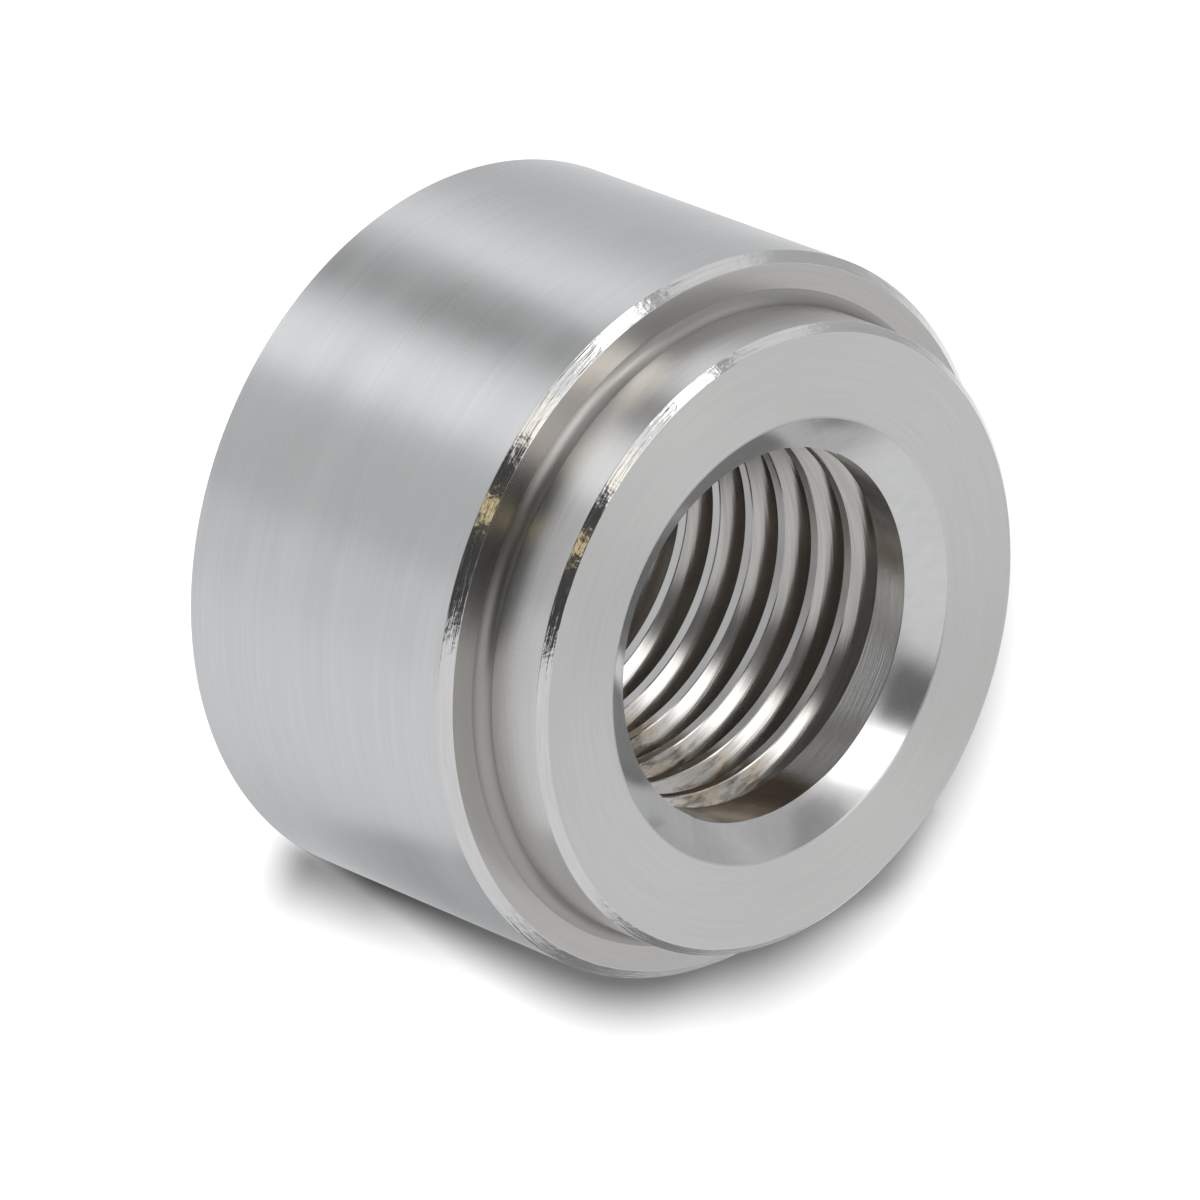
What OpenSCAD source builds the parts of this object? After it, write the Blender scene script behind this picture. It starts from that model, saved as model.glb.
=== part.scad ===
// Weld bung: a stepped ring turned from stainless bar, with a pipe-size threaded port through it.
// The spigot drops into a hole in the tube or tank wall, the shoulder seats on the wall and the
// outer corner is welded. The ring stands on its back face, spigot up, with its axis on Z.

/* [Body] */
// Outside diameter of the body, from 7/8 in bar
body_d = 22.22; // [21:0.01:30]
// Height of the body, from the back face to the shoulder
body_h = 11.12; // [8:0.01:20]

/* [Spigot] */
// Outside diameter of the spigot that enters the wall
spigot_d = 19.26; // [18:0.01:20]
// Height of the spigot above the shoulder
spigot_h = 2.5; // [1.8:0.01:6]

/* [Port] */
// Diameter of the bore, at the crests of a 1/4-18 pipe thread
bore_d = 11.41; // [10.8:0.01:12]
// Diameter of the countersink at the front face
countersink_d = 13.65; // [12.6:0.01:15]
// Included angle of the countersink, in degrees
countersink_angle = 112; // [80:1:120]
// Width of the lead-out chamfer where the bore leaves the back face
bore_exit_chamfer = 0.5; // [0.2:0.05:1]

/* [Edges] */
// Chamfer on the outer edge of the shoulder
shoulder_chamfer = 0.31; // [0.1:0.01:0.4]
// Chamfer on the front edge of the spigot
spigot_chamfer = 0.25; // [0.1:0.01:0.5]
// Radius of the corner between the shoulder and the spigot
root_r = 0.4; // [0.2:0.01:0.55]
// Break on the outer edge of the back face
back_break = 0.08; // [0.05:0.01:0.3]

/* [Hidden] */
$fn = 180;

body_r = body_d / 2;
spigot_r = spigot_d / 2;
bore_r = bore_d / 2;
total_h = body_h + spigot_h;
countersink_r = countersink_d / 2;
countersink_h = (countersink_r - bore_r) / tan(countersink_angle / 2);
// A cutter runs this far past the face that it opens
overrun = 1;

// A bar of radius r from height z0 to z1, with 45 degree breaks at its bottom and top edges
module turned_step(r, z0, z1, bottom_break, top_break) {
    polygon([
        [0, z0],
        [r - bottom_break, z0],
        [r, z0 + bottom_break],
        [r, z1 - top_break],
        [r - top_break, z1],
        [0, z1]
    ]);
}

// The metal that a round-nosed tool leaves in the corner between the shoulder and the spigot
module root_fillet() {
    translate([spigot_r, body_h])
        difference() {
            translate([-root_r, -root_r])
                square(2 * root_r);
            translate([root_r, root_r])
                circle(r = root_r);
        }
}

// Half of the outer section: body, spigot and the fillet between them
module outer_section() {
    turned_step(body_r, 0, body_h, back_break, shoulder_chamfer);
    turned_step(spigot_r, 0, total_h, 0, spigot_chamfer);
    root_fillet();
}

// Half of the port's section: straight bore, countersunk mouth and chamfered exit
module port_section() {
    exit_r = bore_r + bore_exit_chamfer;
    mouth_slope = (countersink_r - bore_r) / countersink_h;
    polygon([
        [0, -overrun],
        [exit_r + overrun, -overrun],
        [bore_r, bore_exit_chamfer],
        [bore_r, total_h - countersink_h],
        [countersink_r + overrun * mouth_slope, total_h + overrun],
        [0, total_h + overrun]
    ]);
}

// The whole ring, turned and bored from one bar
module bung() {
    color([0.72, 0.71, 0.69])
        rotate_extrude()
            difference() {
                outer_section();
                port_section();
            }
}

bung();
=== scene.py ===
"""Looks of the weld bung: the threaded ring as one detailed mesh, its turned steel and the studio."""

import math

import bmesh
import bpy
from mathutils import Matrix, Vector


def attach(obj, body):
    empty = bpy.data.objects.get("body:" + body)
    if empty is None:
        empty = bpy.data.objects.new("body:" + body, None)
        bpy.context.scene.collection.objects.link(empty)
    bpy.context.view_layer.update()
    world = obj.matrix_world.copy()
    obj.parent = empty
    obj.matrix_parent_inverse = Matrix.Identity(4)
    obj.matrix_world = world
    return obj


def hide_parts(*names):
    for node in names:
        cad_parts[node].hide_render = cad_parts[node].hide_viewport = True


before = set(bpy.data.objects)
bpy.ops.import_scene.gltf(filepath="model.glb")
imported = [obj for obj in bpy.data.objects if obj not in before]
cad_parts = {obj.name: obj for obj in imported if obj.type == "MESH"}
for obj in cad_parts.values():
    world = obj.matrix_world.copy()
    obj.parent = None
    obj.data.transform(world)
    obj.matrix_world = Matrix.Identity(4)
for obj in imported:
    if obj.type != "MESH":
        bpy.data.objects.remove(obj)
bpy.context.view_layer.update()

MM = 0.001
MICROMETRE = 1e-6

# Sizes of the turned ring in millimetres, as in part.scad
BODY_R = 11.11
BODY_H = 11.12
SPIGOT_R = 9.63
SPIGOT_H = 2.5
TOTAL_H = BODY_H + SPIGOT_H
BORE_R = 5.705
COUNTERSINK_R = 6.825
COUNTERSINK_ANGLE = math.radians(112)
COUNTERSINK_H = (COUNTERSINK_R - BORE_R) / math.tan(COUNTERSINK_ANGLE / 2)
EXIT_CHAMFER = 0.5
SHOULDER_CHAMFER = 0.31
SPIGOT_CHAMFER = 0.25
ROOT_R = 0.4
BACK_BREAK = 0.08
# The countersink is dished a little, which gives its highlight its shape: how deep, and the dish's radius
DISH = 0.03
DISH_R = 12
# Machined corners aren't knife edges, and the countersink's outer one is rounder
EDGE_R = 0.03
RIM_R = 0.2
LIP_R = 0.05

# The 1/4-18 thread
PITCH = 25.4 / 18
LAND = 0.29
# A little flatter than the standard's 30 degrees, which puts the highlights where the photograph has them
FLANK_SLOPE = math.tan(math.radians(33))
CREST_BEVEL = 0.03
ROOT_FLAT = 0.06
# Height of the top groove's middle where the angle is zero, the angle at which that groove starts, and the
# turn in which it comes to its full depth
GROOVE_Z = 10.69
GROOVE_START = math.radians(300)
GROOVE_RUN_IN = math.radians(80)

# Columns of faces round the ring, and faces in a broad round of its section and in a sharp edge
COLUMNS = 360
ROUND_STEPS = 24
EDGE_STEPS = 4

# The photograph, as a 1200 by 1200 picture: where it shows the bung and from which side
PICTURE = 1200
FOCAL_PX = 11420
PX_PER_BODY_R = 370.45
BACK_CENTRE_PX = (467.8, 517.8)
VIEW_FROM_AXIS = math.radians(47.39)
AXIS_BELOW_LEVEL = math.radians(21.71)

# The lamp: across, along and up from the bung, its distance and size in metres, its power in watts
LAMP_SLOPE = (-0.13, -1.135, 1)
LAMP_DISTANCE = 1.0
LAMP_SIZE = 0.12
LAMP_POWER = 15
# The world's low fill, and the table's half side in metres and its white
WORLD_LIGHT = 0.18
TABLE_HALF = 1.0
TABLE_WHITE = 0.95

# Broad clouds in the tone of every finish: how many per millimetre and per turn, and their detail. And how
# far its roughness varies with them, as a share
CLOUDS = (0.6, 9, 4)
ROUGHNESS_VARIES = 0.15
# Painted shade in the roots of the thread: the darker colour that the steel is given there, how much rougher
# they are, and how far outward from the crests they start and are reached, in millimetres
ROOT_SHADE_COLOUR = (0.5, 0.485, 0.465)
ROOT_DULLNESS = 0.05
ROOT_DEPTHS = (0.55, 0.8)
# A patch on one side of the port with painted reflections and shade: its angles and its soft edge in degrees,
# and the colours of its pale painted reflection, its gold painted glints and its brown streaks of painted
# shade
PAINTED_PATCH = (12, 51)
PAINTED_PATCH_EDGE = 8
PAINTED_PATCH_PALE = (0.74, 0.7, 0.64)
PAINTED_PATCH_GOLD = (0.66, 0.55, 0.41)
PAINTED_PATCH_BROWN = (0.29, 0.235, 0.175)
# The noise that lays them: how many per millimetre and per turn, detail and roughness. The brown comes of
# streaks and clouds: the streaks' share of it, and how soft its edges are. And where the gold patches set in
PAINTED_PATCH_STREAKS = (8, 40, 3, 0.65)
PAINTED_PATCH_CLOUDS = (0.8, 28, 2)
PAINTED_PATCH_GLINTS = (1.8, 26, 3)
STREAKS_SHARE = 0.6
BROWN_EDGE = 0.06
GOLD_FROM = (0.5, 0.62)


def arc_corner(before, corner, after, radius, steps):
    """Points that round a corner of an outline with an arc."""
    to_before = (Vector(before) - Vector(corner)).normalized()
    to_after = (Vector(after) - Vector(corner)).normalized()
    half = to_before.angle(to_after) / 2
    centre = Vector(corner) + (to_before + to_after).normalized() * radius / math.sin(half)
    start = Vector(corner) + to_before * radius / math.tan(half) - centre
    end = Vector(corner) + to_after * radius / math.tan(half) - centre
    turn = start.angle_signed(end)
    points = []
    for i in range(steps + 1):
        points.append(centre + Matrix.Rotation(-turn * i / steps, 2) @ start)
    return points


# Corners of half the section, from the bore's exit round the outside: radius, height, how round, and the
# finish of what follows
OUTLINE = [
    (BORE_R + EXIT_CHAMFER, 0, EDGE_R, "back"),
    (BODY_R - BACK_BREAK, 0, EDGE_R / 2, "body"),
    (BODY_R, BACK_BREAK, EDGE_R / 2, "body"),
    (BODY_R, BODY_H - SHOULDER_CHAMFER, EDGE_R, "chamfer"),
    (BODY_R - SHOULDER_CHAMFER, BODY_H, EDGE_R, "shoulder"),
    (SPIGOT_R, BODY_H, ROOT_R, "spigot"),
    (SPIGOT_R, TOTAL_H - SPIGOT_CHAMFER, EDGE_R, "chamfer"),
    (SPIGOT_R - SPIGOT_CHAMFER, TOTAL_H, EDGE_R, "face"),
    (COUNTERSINK_R, TOTAL_H, RIM_R, "countersink"),
    (
        (COUNTERSINK_R + BORE_R) / 2 + DISH * math.cos(COUNTERSINK_ANGLE / 2),
        TOTAL_H - COUNTERSINK_H / 2 - DISH * math.sin(COUNTERSINK_ANGLE / 2),
        DISH_R,
        "countersink",
    ),
    (BORE_R, TOTAL_H - COUNTERSINK_H, LIP_R, "bore"),
    (BORE_R, EXIT_CHAMFER, EDGE_R, "back"),
]
FINISHES = [
    "body", "chamfer", "shoulder", "root", "spigot", "face", "countersink", "bore", "land", "thread", "back",
]


def ring_outline():
    """Half of the ring's section as (radius, height, finish of the stretch that follows)."""
    points = []
    for i, (r, z, radius, finish) in enumerate(OUTLINE):
        before = OUTLINE[i - 1]
        after = OUTLINE[(i + 1) % len(OUTLINE)]
        steps = ROUND_STEPS if radius >= ROOT_R else EDGE_STEPS
        arc = arc_corner(before[:2], (r, z), after[:2], radius, steps)
        arc_finish = "root" if radius == ROOT_R else before[3]
        for p in arc[:-1]:
            points.append((p.x, p.y, arc_finish))
        points.append((arc[-1].x, arc[-1].y, finish))
    return points


def column_angle(i):
    return 2 * math.pi * i / COLUMNS


def at(r, angle, z):
    """A point given by its radius, angle and height in millimetres."""
    return Vector((r * math.cos(angle), r * math.sin(angle), z)) * MM


def mesh_object(name, verts, faces, finishes, steels):
    mesh = bpy.data.meshes.new(name)
    mesh.from_pydata(verts, [], faces)
    for finish in FINISHES:
        mesh.materials.append(steels[finish])
    for polygon, finish in zip(mesh.polygons, finishes):
        polygon.material_index = FINISHES.index(finish)
    work = bmesh.new()
    work.from_mesh(mesh)
    bmesh.ops.recalc_face_normals(work, faces=work.faces)
    work.to_mesh(mesh)
    work.free()
    piece = bpy.data.objects.new(name, mesh)
    bpy.context.collection.objects.link(piece)
    return piece


def turned_ring(name, steels):
    """The ring without its thread, turned from the outline."""
    outline = ring_outline()
    rows = len(outline)
    verts = []
    for i in range(COLUMNS):
        for r, z, _ in outline:
            verts.append(at(r, column_angle(i), z))
    faces, finishes = [], []
    for i in range(COLUMNS):
        here, beside = i * rows, (i + 1) % COLUMNS * rows
        for j in range(rows):
            up = (j + 1) % rows
            faces.append((here + j, here + up, beside + up, beside + j))
            finishes.append(outline[j][2])
    return mesh_object(name, verts, faces, finishes, steels)


def groove_height(steps):
    """Height of the groove's middle, counting columns down the helix from its start."""
    angle = GROOVE_START - column_angle(steps)
    return GROOVE_Z + PITCH * angle / (2 * math.pi)


def groove_section(depth_share):
    """The groove's section as (distance outward from the crests, height from its middle)."""
    mouth = (PITCH - LAND) / 2
    flank_top = mouth - CREST_BEVEL
    full_depth = CREST_BEVEL + (flank_top - ROOT_FLAT / 2) / FLANK_SLOPE
    inside = 0.1
    half = [
        (-inside, mouth + inside),
        (CREST_BEVEL, flank_top),
        (full_depth, ROOT_FLAT / 2),
    ]
    lift = (1 - depth_share) * (full_depth + inside / 2)
    lower = [(out - lift, -z) for out, z in half]
    upper = [(out - lift, z) for out, z in reversed(half)]
    return lower + upper


def thread_cutter(name, steels):
    """The solid that the threading tool clears: a groove's section swept down a right-hand helix."""
    run_in = round(GROOVE_RUN_IN / (2 * math.pi) * COLUMNS)
    start_column = round(GROOVE_START / (2 * math.pi) * COLUMNS)
    verts, faces = [], []
    steps = 0
    while groove_height(steps) > -PITCH:
        share = min(1, steps / run_in)
        share = share * share * (3 - 2 * share)
        angle = column_angle(start_column - steps)
        for out, dz in groove_section(share):
            verts.append(at(BORE_R + out, angle, groove_height(steps) + dz))
        steps += 1
    corners = len(groove_section(1))
    for i in range(steps - 1):
        for j in range(corners):
            up = (j + 1) % corners
            a, b = i * corners, (i + 1) * corners
            faces.append((a + j, a + up, b + up, b + j))
    faces.append(tuple(range(corners)))
    faces.append(tuple((steps - 1) * corners + j for j in range(corners)))
    return mesh_object(name, verts, faces, ["thread"] * len(faces), steels)


def cut(piece, cutter):
    boolean = piece.modifiers.new("thread", "BOOLEAN")
    boolean.operation = "DIFFERENCE"
    boolean.solver = "EXACT"
    boolean.object = cutter
    depsgraph = bpy.context.evaluated_depsgraph_get()
    mesh = bpy.data.meshes.new_from_object(piece.evaluated_get(depsgraph))
    piece.modifiers.clear()
    piece.data = mesh
    bpy.data.objects.remove(cutter)


def name_lands(mesh):
    """Tell the crests between the grooves from the smooth lead above the first groove."""
    bore, land = FINISHES.index("bore"), FINISHES.index("land")
    for polygon in mesh.polygons:
        if polygon.material_index != bore:
            continue
        x, y, z = polygon.center / MM
        angle = math.atan2(y, x) % (2 * math.pi)
        top_groove = GROOVE_Z + PITCH * angle / (2 * math.pi)
        if angle > GROOVE_START:
            top_groove -= PITCH
        if z < top_groove:
            polygon.material_index = land


def shade_as_turned(mesh):
    """Smooth round the axis and crisp across it, as a lathe leaves the metal."""
    mesh.shade_smooth()
    normals = []
    for polygon in mesh.polygons:
        middle = math.atan2(polygon.center.y, polygon.center.x)
        for corner in polygon.vertices:
            x, y, _ = mesh.vertices[corner].co
            turn = Matrix.Rotation(math.atan2(y, x) - middle, 3, "Z")
            normals.append(turn @ polygon.normal)
    mesh.normals_split_custom_set(normals)


def add_node(tree, kind, links=(), **values):
    """A node with constants set on its sockets by name and links made into them."""
    node = tree.nodes.new(kind)
    for name, value in values.items():
        setattr(node, name, value)
    for socket, source in links:
        if isinstance(source, bpy.types.NodeSocket):
            tree.links.new(source, node.inputs[socket])
        else:
            node.inputs[socket].default_value = source
    return node


def add_math(tree, operation, a, b=0.0):
    return add_node(tree, "ShaderNodeMath", [(0, a), (1, b)], operation=operation).outputs[0]


def ring_coordinates(tree, along):
    """Height or radius in millimetres, whichever the marks follow, and the direction round the axis."""
    place = add_node(tree, "ShaderNodeTexCoord")
    split = add_node(tree, "ShaderNodeSeparateXYZ", [(0, place.outputs["Object"])])
    x, y, z = split.outputs
    radius = add_math(tree, "POWER", add_math(tree, "ADD", add_math(tree, "MULTIPLY", x, x),
                                              add_math(tree, "MULTIPLY", y, y)), 0.5)
    level = add_math(tree, "MULTIPLY", {"z": z, "r": radius}[along], 1 / MM)
    return level, add_math(tree, "DIVIDE", x, radius), add_math(tree, "DIVIDE", y, radius)


def ring_noise(tree, place, per_mm, per_turn, detail=2.0, rough=0.5):
    """Noise drawn out round the axis: so many streaks per millimetre, broken so many times per turn."""
    level, east, north = place
    around = per_turn / (2 * math.pi)
    vector = add_node(tree, "ShaderNodeCombineXYZ", [
        (0, add_math(tree, "MULTIPLY", east, around)),
        (1, add_math(tree, "MULTIPLY", north, around)),
        (2, add_math(tree, "MULTIPLY", level, per_mm)),
    ])
    noise = add_node(tree, "ShaderNodeTexNoise", [("Vector", vector.outputs[0]), ("Scale", 1.0),
                                                  ("Detail", detail), ("Roughness", rough)])
    return noise.outputs["Fac"]


def between(tree, factor, low, high, start=0.3, end=0.7, clamp=True):
    """A number that runs from low to high while a factor runs from start to end.

    By default it runs over the middle of what noise gives.
    """
    return add_node(tree, "ShaderNodeMapRange", [
        ("Value", factor), ("From Min", start), ("From Max", end), ("To Min", low), ("To Max", high),
    ], clamp=clamp).outputs[0]


def ease(tree, value, start, end):
    """0 until a value reaches its start and 1 from its end on, eased in between."""
    return add_node(tree, "ShaderNodeMapRange", [("Value", value), ("From Min", start), ("From Max", end)],
                    interpolation_type="SMOOTHSTEP").outputs[0]


def soft_range(tree, value, low, high, soft):
    """1 where a value lies between two bounds, easing to 0 over a soft edge."""
    return add_math(tree, "MULTIPLY", ease(tree, value, low - soft / 2, low + soft / 2),
                    ease(tree, value, high + soft / 2, high - soft / 2))


def blend(tree, factor, first, second, clamp=True):
    """From a first colour to a second one with a factor."""
    colours = [c if isinstance(c, bpy.types.NodeSocket) else (*c, 1) for c in (first, second)]
    return add_node(tree, "ShaderNodeMix", [(0, factor), (6, colours[0]), (7, colours[1])],
                    data_type="RGBA", clamp_factor=clamp).outputs[2]


def lay_painted_patch(tree, shade, share):
    """Painted reflections and painted shade on one side of the port: a pale painted reflection, gold glints
    in patches, and brown streaks of shade on a share.
    """
    place = ring_coordinates(tree, "z")
    azimuth = add_math(tree, "DEGREES", add_math(tree, "ARCTAN2", place[2], place[1]))
    zone = soft_range(tree, azimuth, *PAINTED_PATCH, PAINTED_PATCH_EDGE)
    streaks = add_math(tree, "MULTIPLY", ring_noise(tree, place, *PAINTED_PATCH_STREAKS), STREAKS_SHARE)
    clouds = add_math(tree, "MULTIPLY", ring_noise(tree, place, *PAINTED_PATCH_CLOUDS), 1 - STREAKS_SHARE)
    brown = add_math(tree, "ADD", streaks, clouds)
    brown = between(tree, brown, 1, 0, share - BROWN_EDGE, share + BROWN_EDGE)
    gold = ease(tree, ring_noise(tree, place, *PAINTED_PATCH_GLINTS), *GOLD_FROM)
    gold = add_math(tree, "MULTIPLY", gold, ease(tree, azimuth, PAINTED_PATCH[0], PAINTED_PATCH[1] - PAINTED_PATCH_EDGE))
    pale_sheen = blend(tree, gold, PAINTED_PATCH_PALE, PAINTED_PATCH_GOLD)
    return blend(tree, zone, shade, blend(tree, brown, pale_sheen, PAINTED_PATCH_BROWN))


def steel(name, colour, roughness, anisotropic, along, marks, waves,
          contrast=0.05, dark_beyond=None, painted_share=0, dull_within=None):
    """Turned stainless steel.

    anisotropic: how far the tool marks draw the highlights out across them.
    along: whether the marks follow each other in height ("z") or in radius ("r").
    marks: fine tool marks as (per millimetre, breaks per turn, depth in micrometres).
    waves: broader unevenness of the surface in the same terms.
    contrast: how far the metal's tone varies either way, as a share.
    dark_beyond: radii in millimetres between which the metal darkens to painted shade in the roots of the
    thread.
    painted_share: how much of the patch of painted reflections is brown painted shade, where 0 leaves the
    patch out.
    dull_within: radii in millimetres between which the metal gets rougher inwards, and by how much.
    """
    material = bpy.data.materials.new(name)
    material.use_nodes = True
    tree = material.node_tree
    shader = tree.nodes["Principled BSDF"]
    shader.inputs["Metallic"].default_value = 1
    if anisotropic:
        shader.inputs["Anisotropic"].default_value = anisotropic
        shader.inputs["Anisotropic Rotation"].default_value = 0.25
        tangent = add_node(tree, "ShaderNodeTangent", direction_type="RADIAL", axis="Z")
        tree.links.new(tangent.outputs["Tangent"], shader.inputs["Tangent"])
    place = ring_coordinates(tree, along)
    fine = ring_noise(tree, place, marks[0], marks[1])
    broad = ring_noise(tree, place, waves[0], waves[1])
    cloud = ring_noise(tree, place, *CLOUDS)
    shades = [tuple(c * share for c in colour) for share in (1 - contrast, 1 + contrast)]
    mixed = add_math(tree, "ADD", add_math(tree, "MULTIPLY", cloud, 0.5),
                     add_math(tree, "MULTIPLY", fine, 0.5))
    shade = blend(tree, between(tree, mixed, 0, 1, clamp=False), *shades, clamp=False)
    dullness = between(tree, cloud, roughness * (1 - ROUGHNESS_VARIES), roughness * (1 + ROUGHNESS_VARIES),
                       clamp=False)
    # Painted reflections and painted shade on one side of the port
    if painted_share:
        shade = lay_painted_patch(tree, shade, painted_share)
    if dull_within:
        worn = ease(tree, ring_coordinates(tree, "r")[0], dull_within[1], dull_within[0])
        dullness = add_math(tree, "ADD", dullness, add_math(tree, "MULTIPLY", worn, dull_within[2]))
    # Painted shade: the metal darkens towards the roots of the thread
    if dark_beyond:
        depth = between(tree, ring_coordinates(tree, "r")[0], 0, 1, *dark_beyond)
        shade = blend(tree, depth, shade, ROOT_SHADE_COLOUR)
        dullness = add_math(tree, "ADD", dullness, add_math(tree, "MULTIPLY", depth, ROOT_DULLNESS))
    tree.links.new(shade, shader.inputs["Base Color"])
    tree.links.new(dullness, shader.inputs["Roughness"])
    deep = add_node(tree, "ShaderNodeBump", [
        ("Height", broad), ("Strength", 1.0), ("Distance", waves[2] * MICROMETRE),
    ])
    bump = add_node(tree, "ShaderNodeBump", [
        ("Height", fine), ("Strength", 1.0), ("Distance", marks[2] * MICROMETRE), ("Normal", deep.outputs[0]),
    ])
    tree.links.new(bump.outputs[0], shader.inputs["Normal"])
    return material


def make_finishes():
    plain = (0.72, 0.705, 0.68)
    roots = [BORE_R + depth for depth in ROOT_DEPTHS]
    return {
        "body": steel("turned_body", (0.725, 0.718, 0.702), 0.30, 0.92, "z", (8, 12, 1.5), (1.5, 4, 1.5)),
        "chamfer": steel("burnished_chamfer", plain, 0.1, 0, "z", (20, 50, 9.0), (6, 200, 11.0), 0.08),
        # The shoulder and the fillet at its foot get darker steel than the body: painted shade in the corner
        "shoulder": steel("turned_shoulder", (0.53, 0.51, 0.48), 0.2, 0.6, "r", (8, 20, 0.6), (2, 8, 1.0)),
        "root": steel("turned_root", (0.42, 0.405, 0.38), 0.34, 0.85, "r", (8, 20, 1.0), (2, 8, 1.0)),
        "spigot": steel("turned_spigot", (0.68, 0.665, 0.645), 0.25, 0.8, "z", (8, 20, 0.8), (1.5, 6, 1.5)),
        "face": steel("faced_end", (0.67, 0.654, 0.628), 0.38, 0.7, "r", (9, 14, 1.5), (2, 6, 1.0)),
        "countersink": steel("countersink", (0.68, 0.667, 0.645), 0.14, 0, "r", (3, 120, 0.3), (1, 20, 1.0),
                             dull_within=(BORE_R, BORE_R + 0.4, 0.08)),
        "bore": steel("bored_lead", (0.68, 0.675, 0.66), 0.22, 0.5, "z", (16, 24, 8.0), (3, 16, 2.0), 0.16,
                      painted_share=0.66),
        "land": steel("thread_crests", (0.69, 0.68, 0.655), 0.34, 0, "z", (6, 20, 0.5), (2, 6, 1.0),
                      painted_share=0.62),
        # The thread flanks get darker steel than the crests: painted shade in the grooves
        "thread": steel("thread_flanks", (0.52, 0.49, 0.455), 0.17, 0, "z", (14, 10, 4.0), (4, 14, 4.0), 0.2,
                        dark_beyond=roots, painted_share=0.46),
        "back": steel("faced_back", plain, 0.34, 0.6, "r", (9, 14, 1.5), (2, 6, 1.0)),
    }


def build_bung():
    steels = make_finishes()
    ring = turned_ring("threaded_bung", steels)
    cut(ring, thread_cutter("thread_groove", steels))
    name_lands(ring.data)
    shade_as_turned(ring.data)
    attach(ring, "root")
    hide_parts("bung")
    return ring


def camera_axes():
    """The picture's right, down and forward directions in the bung's frame, from the two view angles."""
    turn, roll = VIEW_FROM_AXIS, AXIS_BELOW_LEVEL
    right = Vector((-math.sin(roll), math.cos(turn) * math.cos(roll), math.sin(turn) * math.cos(roll)))
    down = Vector((math.cos(roll), math.cos(turn) * math.sin(roll), math.sin(turn) * math.sin(roll)))
    forward = Vector((0, math.sin(turn), -math.cos(turn)))
    return right, down, forward


def build_camera():
    right, down, forward = camera_axes()
    distance = FOCAL_PX / PX_PER_BODY_R * BODY_R * MM
    centre = PICTURE / 2
    sideways = (BACK_CENTRE_PX[0] - centre) / FOCAL_PX * distance
    downward = (BACK_CENTRE_PX[1] - centre) / FOCAL_PX * distance
    place = -(right * sideways + down * downward + forward * distance)
    data = bpy.data.cameras.new("camera")
    data.sensor_width = 36
    data.lens = FOCAL_PX / PICTURE * data.sensor_width
    data.clip_start = 0.01
    data.clip_end = 10
    camera = bpy.data.objects.new("camera", data)
    turn = Matrix((right, -down, -forward)).transposed()
    camera.matrix_world = Matrix.Translation(place) @ turn.to_4x4()
    bpy.context.collection.objects.link(camera)
    bpy.context.scene.camera = camera


# The studio in the metal: a pale tent, with its radius in metres, and cards in it. Each card has its azimuth
# and elevation ranges and the softness of its edges in degrees, its brightness and its tint
TENT_RADIUS = 0.3
COOL = (0.975, 1.0, 1.035)
WARM = (1.0, 0.84, 0.5)
TAN = (1.03, 0.965, 0.89)
TENT = 0.8
CARDS = [
    (45, 150, -5, 24, 20, 0.48, COOL),
    (118, 158, 0, 30, 14, 0.5, COOL),
    (128, 192, 32, 54, 12, 0.52, COOL),
    (163, 189, 36, 56, 6, 0.36, COOL),
    (186.5, 189.5, 22, 38, 1.5, 0.3, COOL),
    # For the lower stretch of the chamfers
    (20, 82, -24, 10, 10, 0.24, COOL),
    # For the chamfers at the picture's upper left
    (191, 208, 30, 46, 3, 2.2, COOL),
    (209, 244, 10, 35, 5, 0.25, COOL),
    (208, 244, 36, 52, 3, 0.95, COOL),
    # Higher up, where the shoulder's corner sees them and the chamfers don't
    (190, 211, 43, 50, 3, 3.2, TAN),
    (225, 242, 44, 60, 4, 1.35, TAN),
    # Below the horizon the metal sees the table round the bung
    (85, 118, -85, -10, 16, 1.0, COOL),
    (138, 172, -85, -10, 16, 0.58, COOL),
    (182, 196, -85, -10, 6, 1.0, COOL),
    (199, 221, -85, -10, 5, 0.3, COOL),
    (228, 248, -85, -10, 10, 1.1, COOL),
    (252, 290, -85, -10, 12, 0.64, COOL),
    (14, 70, -85, -10, 24, 0.66, COOL),
]
# The softbox and the camera are given by tangents from straight up, to the side and along. Below this rise
# the tangents are held, as they would get too large
LOWEST_RISE = 0.1
# The softbox: its middle, its half width and half length, the radius of its corners, its soft edge and its
# brightness
SOFTBOX_MIDDLE = (-0.37, -0.23)
SOFTBOX_HALF = (0.17, 0.29)
SOFTBOX_CORNER = 0.12
SOFTBOX_EDGE = 0.1
SOFTBOX_LIGHT = 2.6
# Cards that lie flat: two corners, the height and the softness of the edges in millimetres, and the
# brightness
TABLE_CARDS = [
    # Under the port
    (-7.8, -7.8, 7.8, 7.8, -0.05, 0, 0.67),
    (0.6, 0.4, 4.5, 4.5, -0.04, 1.0, 0.75),
    (-5.8, -5, -3.3, 0.3, -0.03, 0.6, 0.12),
    (3.0, -5, 5.8, 0.3, -0.03, 0.4, 0.12),
    # Far enough off that only the upper part of the wall sees them
    (-26, -14.5, -16, -7.5, 0.05, 1.5, 1.0),
    (13, -4, 30, 15, 0.05, 3, 0.4),
]
# Cards standing across the port in its mouth, which only the near part of the countersink shows from the
# photograph's side: the two sides and the softness of the edges in millimetres, and the brightness
MOUTH_CARDS = [
    (-5.3, 5.3, 0, 0.2),
    (-7.9, -4.25, 0.3, 0.55),
    (-2.3, -1.5, 0.4, 0.29),
    (-1.4, 1.3, 0.4, 0.15),
    (1.45, 2.5, 0.4, 0.68),
    (2.5, 4.2, 0.4, 0.23),
    (4.2, 7.9, 0.3, 0.53),
]
MOUTH_CARD_BOTTOM = 9.9
MOUTH_CARD_GAP = 0.01
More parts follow.
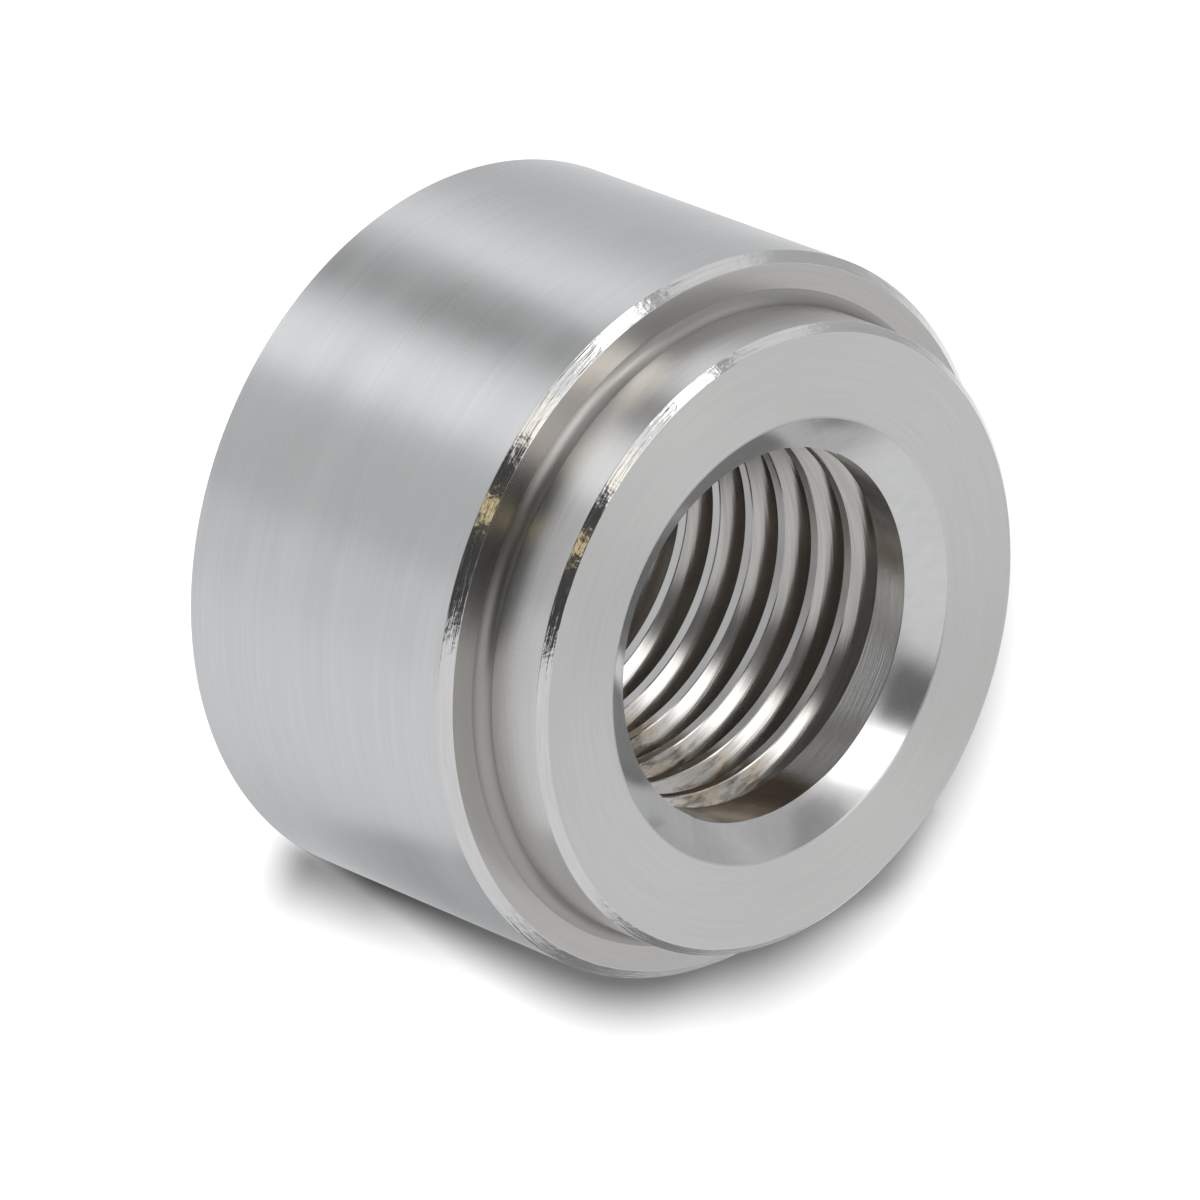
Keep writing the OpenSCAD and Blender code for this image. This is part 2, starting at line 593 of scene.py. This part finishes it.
# The gauze just over the table that makes the soft dark edge of the shadow, close along the bung's lower side
# in the picture: its middle and its half sides in millimetres
SHADE_MIDDLE = (9, 10.5, 0.2)
SHADE_HALF = (6, 15.5)
# The band in it: its inner and outer edges in x, how much light it takes near and far, between which y that
# falls, and between which y the band sets in and ends
SHADE_EDGES = (BODY_R, 13.8)
SHADE_TAKES = (0.8, 0.12)
SHADE_FALLS = (2, 12)
SHADE_STARTS = (-3.7, -0.9)
SHADE_ENDS = (13, 19)
# Where it follows the bung round a bend: the y that it turns from, how far inwards for each millimetre of y,
# its edges in x, its y range and how soft that is, and how much light it takes
BEND_FROM = 14
BEND_TURNS = 0.55
BEND_EDGES = (11, 12.4)
BEND_RUN = (19.3, 24.5, 2)
BEND_TAKES = 0.38
# The dark camera: each side's half width overhead and how fast it widens, where it starts to and the far end,
# how soft its sides and its end are, the heights between which it sets in at the horizon, and its brightness
CAMERA_LEFT = (0.2, 0.53)
CAMERA_RIGHT = (0.17, 0.95)
CAMERA_WIDENS = 0.45
CAMERA_END = 0.22
CAMERA_SIDES_SOFT = 0.07
CAMERA_END_SOFT = 0.05
CAMERA_FOOT = (-0.1, -0.02)
CAMERA_LIGHT = 0.17
# Its darker stand: from where to where it sets in, and the brightness
STAND_FROM = (-0.55, -0.8)
STAND_LIGHT = 0.06
# The gold band on the lens
GOLD = (262, 269, 38, 52, 2, 0.85, WARM)


def lay_over(tree, shade, mask, light, tint):
    """A card of one brightness over what the tent shows so far."""
    return blend(tree, mask, shade, [light * c for c in tint])


def azimuth_card(tree, shade, azimuth, elevation, card):
    az0, az1, el0, el1, soft, light, tint = card
    mask = add_math(tree, "MULTIPLY", soft_range(tree, azimuth, az0, az1, soft),
                    soft_range(tree, elevation, el0, el1, soft))
    return lay_over(tree, shade, mask, light, tint)


def camera_mask(tree, aside, along, height):
    """The camera's outline: narrow overhead, and wider towards the side that it stands on."""
    run = add_math(tree, "SUBTRACT", add_math(tree, "MULTIPLY", along, -1), CAMERA_WIDENS)
    run = add_math(tree, "MAXIMUM", run, 0)
    left = add_math(tree, "ADD", add_math(tree, "MULTIPLY", run, CAMERA_LEFT[1]), aside)
    left = add_math(tree, "ADD", left, CAMERA_LEFT[0])
    right = add_math(tree, "ADD", add_math(tree, "MULTIPLY", run, CAMERA_RIGHT[1]), CAMERA_RIGHT[0])
    right = add_math(tree, "SUBTRACT", right, aside)
    nearer = add_math(tree, "MINIMUM", left, right)
    inside = between(tree, nearer, 0, 1, -CAMERA_SIDES_SOFT, CAMERA_SIDES_SOFT)
    near = between(tree, along, 1, 0, CAMERA_END - CAMERA_END_SOFT, CAMERA_END + CAMERA_END_SOFT)
    upper = between(tree, height, 0, 1, *CAMERA_FOOT)
    return add_math(tree, "MULTIPLY", inside, add_math(tree, "MULTIPLY", near, upper))


def softbox_mask(tree, aside, along):
    """The window light: a rectangle with round corners."""
    beyond = []
    for value, middle, half in zip((aside, along), SOFTBOX_MIDDLE, SOFTBOX_HALF):
        away = add_math(tree, "ABSOLUTE", add_math(tree, "SUBTRACT", value, middle))
        beyond.append(add_math(tree, "MAXIMUM", add_math(tree, "SUBTRACT", away, half - SOFTBOX_CORNER), 0))
    squares = [add_math(tree, "MULTIPLY", value, value) for value in beyond]
    distance = add_math(tree, "SQRT", add_math(tree, "ADD", *squares))
    return ease(tree, distance, SOFTBOX_CORNER + SOFTBOX_EDGE / 2, SOFTBOX_CORNER - SOFTBOX_EDGE / 2)


def build_dome():
    """The studio as the metal sees it: a pale tent with a window light, grey cards and the dark camera."""
    mesh = bpy.data.meshes.new("studio_tent")
    work = bmesh.new()
    bmesh.ops.create_icosphere(work, subdivisions=5, radius=TENT_RADIUS)
    work.to_mesh(mesh)
    work.free()
    dome = bpy.data.objects.new("studio_tent", mesh)
    bpy.context.collection.objects.link(dome)
    material = bpy.data.materials.new("tent_cloth")
    material.use_nodes = True
    tree = material.node_tree
    tree.nodes.clear()
    place = add_node(tree, "ShaderNodeTexCoord")
    direction = add_node(tree, "ShaderNodeVectorMath", [(0, place.outputs["Object"])], operation="NORMALIZE")
    x, y, z = add_node(tree, "ShaderNodeSeparateXYZ", [(0, direction.outputs[0])]).outputs
    turn = add_math(tree, "DEGREES", add_math(tree, "ARCTAN2", y, x))
    azimuth = add_math(tree, "MODULO", add_math(tree, "ADD", turn, 360), 360)
    elevation = add_math(tree, "DEGREES", add_math(tree, "ARCSINE", z))
    shade = add_node(tree, "ShaderNodeRGB").outputs[0]
    shade.default_value = (*[TENT * c for c in COOL], 1)
    for card in CARDS:
        shade = azimuth_card(tree, shade, azimuth, elevation, card)
    above = add_math(tree, "MAXIMUM", z, LOWEST_RISE)
    aside = add_math(tree, "DIVIDE", x, above)
    along = add_math(tree, "DIVIDE", y, above)
    shade = lay_over(tree, shade, softbox_mask(tree, aside, along), SOFTBOX_LIGHT, COOL)
    camera = camera_mask(tree, aside, along, z)
    shade = lay_over(tree, shade, camera, CAMERA_LIGHT, COOL)
    stand = add_math(tree, "MULTIPLY", camera, ease(tree, along, *STAND_FROM))
    shade = lay_over(tree, shade, stand, STAND_LIGHT, COOL)
    shade = azimuth_card(tree, shade, azimuth, elevation, GOLD)
    glow = add_node(tree, "ShaderNodeEmission", [("Color", shade)])
    add_node(tree, "ShaderNodeOutputMaterial", [("Surface", glow.outputs[0])])
    material.cycles.emission_sampling = "NONE"
    mesh.materials.append(material)
    dome.visible_camera = False
    dome.visible_diffuse = False
    dome.visible_shadow = False


def stage_card(name, middle, side, rise):
    """A card from its middle and its two half sides in millimetres, and an empty material to fill in."""
    mesh = bpy.data.meshes.new(name)
    mesh.from_pydata([(-1, -1, 0), (1, -1, 0), (1, 1, 0), (-1, 1, 0)], [], [(0, 1, 2, 3)])
    card = bpy.data.objects.new(name, mesh)
    side, rise = Vector(side), Vector(rise)
    turn = Matrix((side, rise, side.cross(rise).normalized())).transposed()
    card.matrix_world = Matrix.Translation(Vector(middle) * MM) @ (turn * MM).to_4x4()
    bpy.context.collection.objects.link(card)
    material = bpy.data.materials.new(name)
    material.use_nodes = True
    material.node_tree.nodes.clear()
    mesh.materials.append(material)
    card.visible_camera = False
    return card, material


def glow_card(name, middle, side, rise, soft, light):
    """A glowing card that only the metal sees; its edges fade over a softness in millimetres."""
    card, material = stage_card(name, middle, side, rise)
    card.visible_diffuse = False
    card.visible_shadow = False
    material.cycles.emission_sampling = "NONE"
    tree = material.node_tree
    surface = add_node(tree, "ShaderNodeEmission", [("Color", (*[light * c for c in COOL], 1))]).outputs[0]
    if soft:
        place = add_node(tree, "ShaderNodeTexCoord")
        split = add_node(tree, "ShaderNodeSeparateXYZ", [(0, place.outputs["Object"])])
        mask = 1.0
        for axis, half in enumerate((Vector(side).length, Vector(rise).length)):
            edge = add_math(tree, "ABSOLUTE", split.outputs[axis])
            mask = add_math(tree, "MULTIPLY", mask, ease(tree, edge, 1, 1 - soft / half))
        clear = add_node(tree, "ShaderNodeBsdfTransparent").outputs[0]
        surface = add_node(tree, "ShaderNodeMixShader", [(0, mask), (1, clear), (2, surface)]).outputs[0]
    add_node(tree, "ShaderNodeOutputMaterial", [("Surface", surface)])


def build_cards():
    """What the port's far end opens on, what lies on the table and what stands in the port's mouth."""
    for i, (x0, y0, x1, y1, z, soft, light) in enumerate(TABLE_CARDS):
        middle = ((x0 + x1) / 2, (y0 + y1) / 2, z)
        glow_card(f"table_card_{i + 1}", middle, ((x1 - x0) / 2, 0, 0), (0, (y1 - y0) / 2, 0), soft, light)
    for i, (x0, x1, soft, light) in enumerate(MOUTH_CARDS):
        z0, z1 = MOUTH_CARD_BOTTOM, TOTAL_H
        middle = ((x0 + x1) / 2, -MOUTH_CARD_GAP * i, (z0 + z1) / 2)
        glow_card(f"mouth_card_{i + 1}", middle, ((x1 - x0) / 2, 0, 0), (0, 0, (z1 - z0) / 2), soft, light)


def build_shade():
    """A soft gauze just over the table, which deepens the bung's shadow where it meets the table."""
    card, material = stage_card("shadow_gauze", SHADE_MIDDLE, (SHADE_HALF[0], 0, 0), (0, SHADE_HALF[1], 0))
    card.visible_glossy = False
    tree = material.node_tree
    place = add_node(tree, "ShaderNodeNewGeometry")
    scaled = add_node(tree, "ShaderNodeVectorMath", [(0, place.outputs["Position"]), (3, 1 / MM)],
                      operation="SCALE")
    x, y, _ = add_node(tree, "ShaderNodeSeparateXYZ", [(0, scaled.outputs[0])]).outputs
    band = add_math(tree, "MULTIPLY", ease(tree, x, SHADE_EDGES[1], SHADE_EDGES[0]),
                    between(tree, y, *SHADE_TAKES, *SHADE_FALLS))
    band = add_math(tree, "MULTIPLY", band, ease(tree, y, *SHADE_STARTS))
    band = add_math(tree, "MULTIPLY", band, ease(tree, y, SHADE_ENDS[1], SHADE_ENDS[0]))
    past = add_math(tree, "MAXIMUM", add_math(tree, "SUBTRACT", y, BEND_FROM), 0)
    turned = add_math(tree, "ADD", x, add_math(tree, "MULTIPLY", past, BEND_TURNS))
    bend = add_math(tree, "MULTIPLY", ease(tree, turned, BEND_EDGES[1], BEND_EDGES[0]),
                    soft_range(tree, y, *BEND_RUN))
    takes = add_math(tree, "MAXIMUM", band, add_math(tree, "MULTIPLY", bend, BEND_TAKES))
    left = add_math(tree, "SUBTRACT", 1, takes)
    grey = add_node(tree, "ShaderNodeCombineColor", [(0, left), (1, left), (2, left)])
    gauze = add_node(tree, "ShaderNodeBsdfTransparent", [("Color", grey.outputs[0])])
    add_node(tree, "ShaderNodeOutputMaterial", [("Surface", gauze.outputs[0])])


def build_floor():
    mesh = bpy.data.meshes.new("floor")
    half = TABLE_HALF
    corners = [(-half, -half, 0), (half, -half, 0), (half, half, 0), (-half, half, 0)]
    mesh.from_pydata(corners, [], [(0, 1, 2, 3)])
    floor = bpy.data.objects.new("floor", mesh)
    bpy.context.collection.objects.link(floor)
    material = bpy.data.materials.new("white_table")
    material.use_nodes = True
    tree = material.node_tree
    shader = tree.nodes["Principled BSDF"]
    shader.inputs["Base Color"].default_value = (TABLE_WHITE, TABLE_WHITE, TABLE_WHITE, 1)
    shader.inputs["Roughness"].default_value = 1
    shader.inputs["Specular IOR Level"].default_value = 0
    mesh.materials.append(material)
    floor.visible_glossy = False


def build_world():
    """A plain white background, and a low even fill for the floor."""
    world = bpy.data.worlds.new("world")
    bpy.context.scene.world = world
    world.use_nodes = True
    tree = world.node_tree
    ray = add_node(tree, "ShaderNodeLightPath").outputs
    seen = add_math(tree, "MAXIMUM", ray["Is Glossy Ray"], ray["Is Transmission Ray"])
    seen = add_math(tree, "MAXIMUM", ray["Is Camera Ray"], seen)
    tree.links.new(between(tree, seen, WORLD_LIGHT, 1, 0, 1), tree.nodes["Background"].inputs["Strength"])
    tree.nodes["Background"].inputs["Color"].default_value = (1, 1, 1, 1)
    # The metal sees the tent instead
    world.cycles_visibility.glossy = False


def build_lamp():
    """The main light, just above the camera in the picture, which throws the shadow under the bung."""
    data = bpy.data.lights.new("softbox", "AREA")
    data.shape = "DISK"
    data.size = LAMP_SIZE
    data.energy = LAMP_POWER
    aim = Vector((0, 0, 0.5 * TOTAL_H * MM))
    away = Vector(LAMP_SLOPE).normalized()
    lamp = bpy.data.objects.new("softbox", data)
    lamp.location = aim + away * LAMP_DISTANCE
    lamp.rotation_euler = away.to_track_quat("Z", "Y").to_euler()
    lamp.visible_glossy = False
    bpy.context.collection.objects.link(lamp)


build_camera()
build_bung()
build_floor()
build_dome()
build_cards()
build_shade()
build_world()
build_lamp()
bpy.context.scene.view_settings.view_transform = "Standard"
